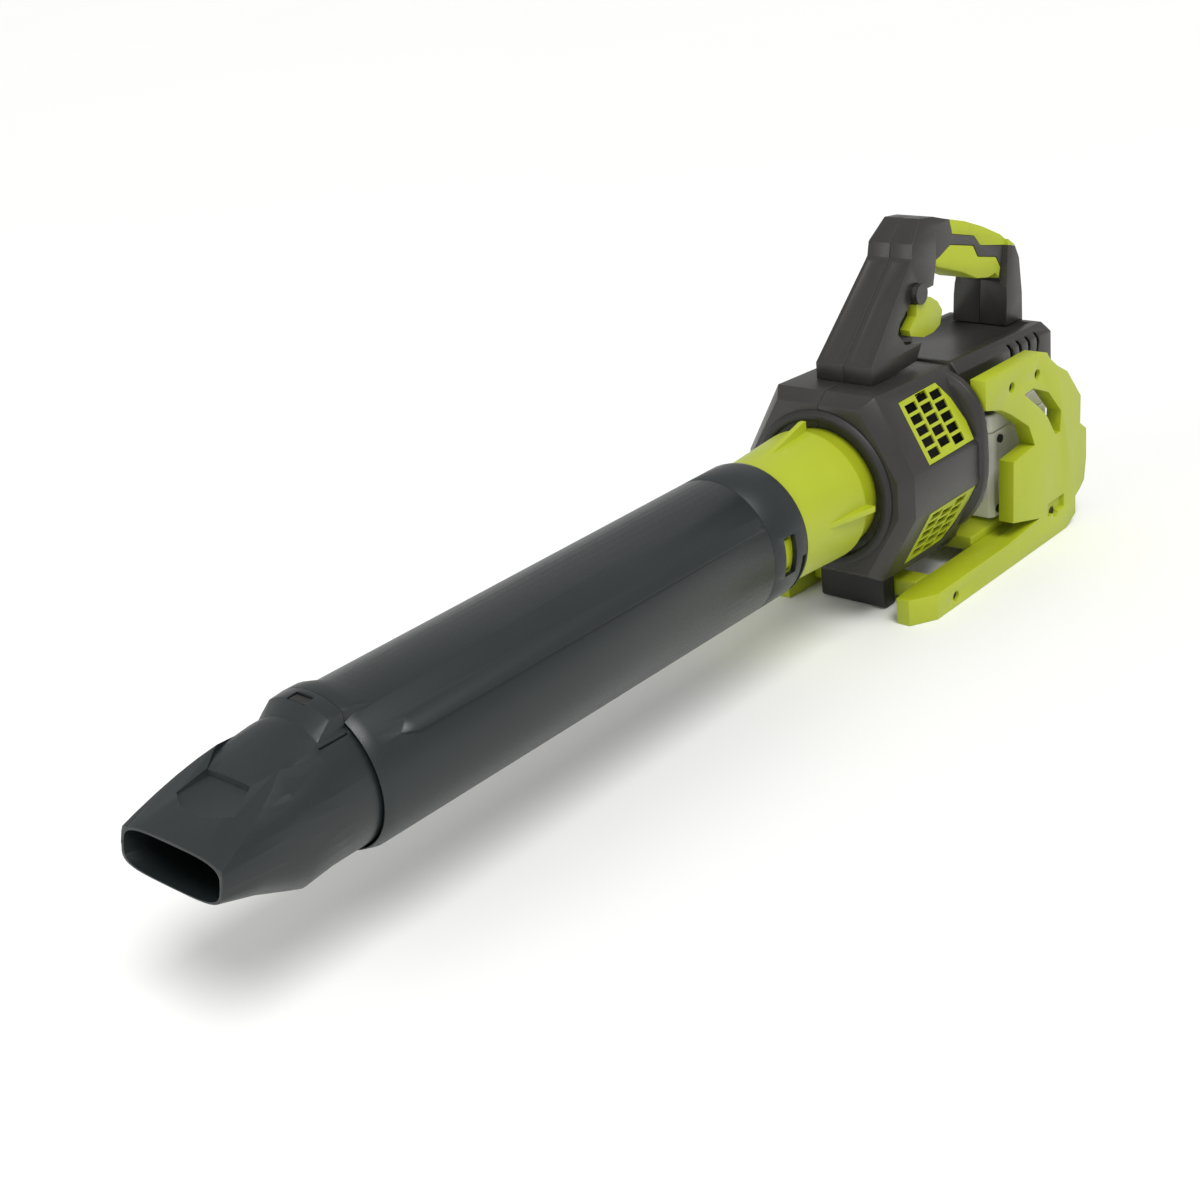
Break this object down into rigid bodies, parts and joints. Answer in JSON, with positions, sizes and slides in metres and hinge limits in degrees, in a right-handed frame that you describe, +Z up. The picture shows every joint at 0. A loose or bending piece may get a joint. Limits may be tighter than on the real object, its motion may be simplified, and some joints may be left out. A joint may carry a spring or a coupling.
{
  "type": "cordless leaf blower",
  "caption": "Hand-held turbine blower with a flat nozzle, top handle, side speed lever, skid guards and a slide-out battery.",
  "frame": {"origin": "bottom centre of the whole blower's bounding box, on the ground under the skids", "axes": "+X from the nozzle towards the battery, along the air axis; +Y across, towards the operator's right; +Z up"},
  "size_m": [0.9312, 0.163, 0.299],
  "materials": {
    "tube_plastic": "fine-grained dark grey-green plastic, slightly glossy",
    "black_plastic": "matt black plastic",
    "lime_plastic": "satin lime plastic",
    "lime_rubber": "soft lime overmould",
    "dark_nylon": "dark warm grey glass-filled nylon, fine texture",
    "pale_case": "pale cream, slightly translucent plastic",
    "spring_steel": "bright steel",
    "zinc_steel": "dark zinc-plated steel",
    "copper_winding": null,
    "circuit_board": "green solder mask"
  },
  "bodies": {
    "housing": {"outlet_duct": "lime_plastic", "tube_release_spring_left": "spring_steel", "tube_release_spring_right": "spring_steel", "front_ring": "black_plastic", "housing_left": "dark_nylon", "housing_right": "dark_nylon", "intake_grille_left_upper": "lime_plastic", "intake_grille_left_lower": "lime_plastic", "intake_grille_right_upper": "lime_plastic", "intake_grille_right_lower": "lime_plastic", "motor_stator": "copper_winding", "motor_case": "zinc_steel", "motor_end_plate": "zinc_steel", "motor_bearing_front": "spring_steel", "motor_bearing_rear": "spring_steel", "motor_mount": "black_plastic", "tail_cone": "black_plastic", "rear_cover": "dark_nylon", "battery_dock": "black_plastic", "terminal_block": "black_plastic", "battery_backstop": "dark_nylon", "control_board": "circuit_board", "guard_left": "lime_plastic", "guard_right": "lime_plastic", "guard_screw_left_1": "zinc_steel", "guard_screw_left_2": "zinc_steel", "guard_screw_left_3": "zinc_steel", "guard_screw_left_4": "zinc_steel", "guard_screw_right_1": "zinc_steel", "guard_screw_right_2": "zinc_steel", "guard_screw_right_3": "zinc_steel", "guard_screw_right_4": "zinc_steel", "front_cross_bar": "lime_plastic", "battery_floor": "lime_plastic", "front_foot": "black_plastic", "grip_overmould_top": "lime_rubber", "grip_overmould_bottom": "lime_rubber", "lever_pivot_pin": "dark_nylon", "lever_spring": "spring_steel", "speed_switch": "black_plastic", "handle_left": "dark_nylon", "handle_right": "dark_nylon"},
    "rotor": {"rotor_shaft": "spring_steel", "fan_impeller": "black_plastic", "fan_spinner": "black_plastic"},
    "lever": {"speed_lever": "lime_plastic"},
    "battery": {"battery_case": "pale_case", "battery_lid": "pale_case", "battery_screw_upper": "zinc_steel", "battery_screw_lower": "zinc_steel", "battery_latch_spring": "spring_steel"},
    "battery_latch": {"battery_latch_button": "lime_plastic"},
    "tube": {"blower_tube": "tube_plastic"},
    "nozzle_piece": {"nozzle": "tube_plastic"},
    "nozzle_button": {"nozzle_release_button": "black_plastic"},
    "tube_button_left": {"tube_release_button_left": "lime_plastic"},
    "tube_button_right": {"tube_release_button_right": "lime_plastic"}
  },
  "joints": [
    {"name": "fan_spin", "type": "hinge", "parent": "housing", "child": "rotor", "pos_m": [0.1946, 0, 0.114], "axis": [1, 0, 0], "continuous": true},
    {"name": "speed_lever_pull", "type": "hinge", "parent": "housing", "child": "lever", "pos_m": [0.2866, -0.0215, 0.244], "axis": [0, 1, 0], "range_deg": [0, 18], "stiffness_Nm_per_rad": 0.25, "springref_deg": -8.59, "deforming": ["lever_spring"]},
    {"name": "battery_slide", "type": "slide", "parent": "housing", "child": "battery", "axis": [1, 0, 0], "range_m": [0, 0.115]},
    {"name": "battery_latch_press", "type": "slide", "parent": "battery", "child": "battery_latch", "axis": [-1, 0, 0], "range_m": [0, 0.004], "stiffness_N_per_m": 500, "springref_m": -0.002, "deforming": ["battery_latch_spring"]},
    {"name": "tube_slide", "type": "slide", "parent": "housing", "child": "tube", "axis": [-1, 0, 0], "range_m": [0, 0.08]},
    {"name": "nozzle_slide", "type": "slide", "parent": "tube", "child": "nozzle_piece", "axis": [-1, 0, 0], "range_m": [0, 0.06]},
    {"name": "nozzle_button_press", "type": "slide", "parent": "nozzle_piece", "child": "nozzle_button", "axis": [0, 0, -1], "range_m": [0, 0.0025], "stiffness_N_per_m": 400, "springref_m": -0.002},
    {"name": "tube_button_left_press", "type": "slide", "parent": "housing", "child": "tube_button_left", "axis": [0, 1, 0], "range_m": [0, 0.003], "stiffness_N_per_m": 400, "springref_m": -0.002, "deforming": ["tube_release_spring_left"]},
    {"name": "tube_button_right_press", "type": "slide", "parent": "housing", "child": "tube_button_right", "axis": [0, -1, 0], "range_m": [0, 0.003], "stiffness_N_per_m": 400, "springref_m": -0.002, "deforming": ["tube_release_spring_right"]}
  ]
}
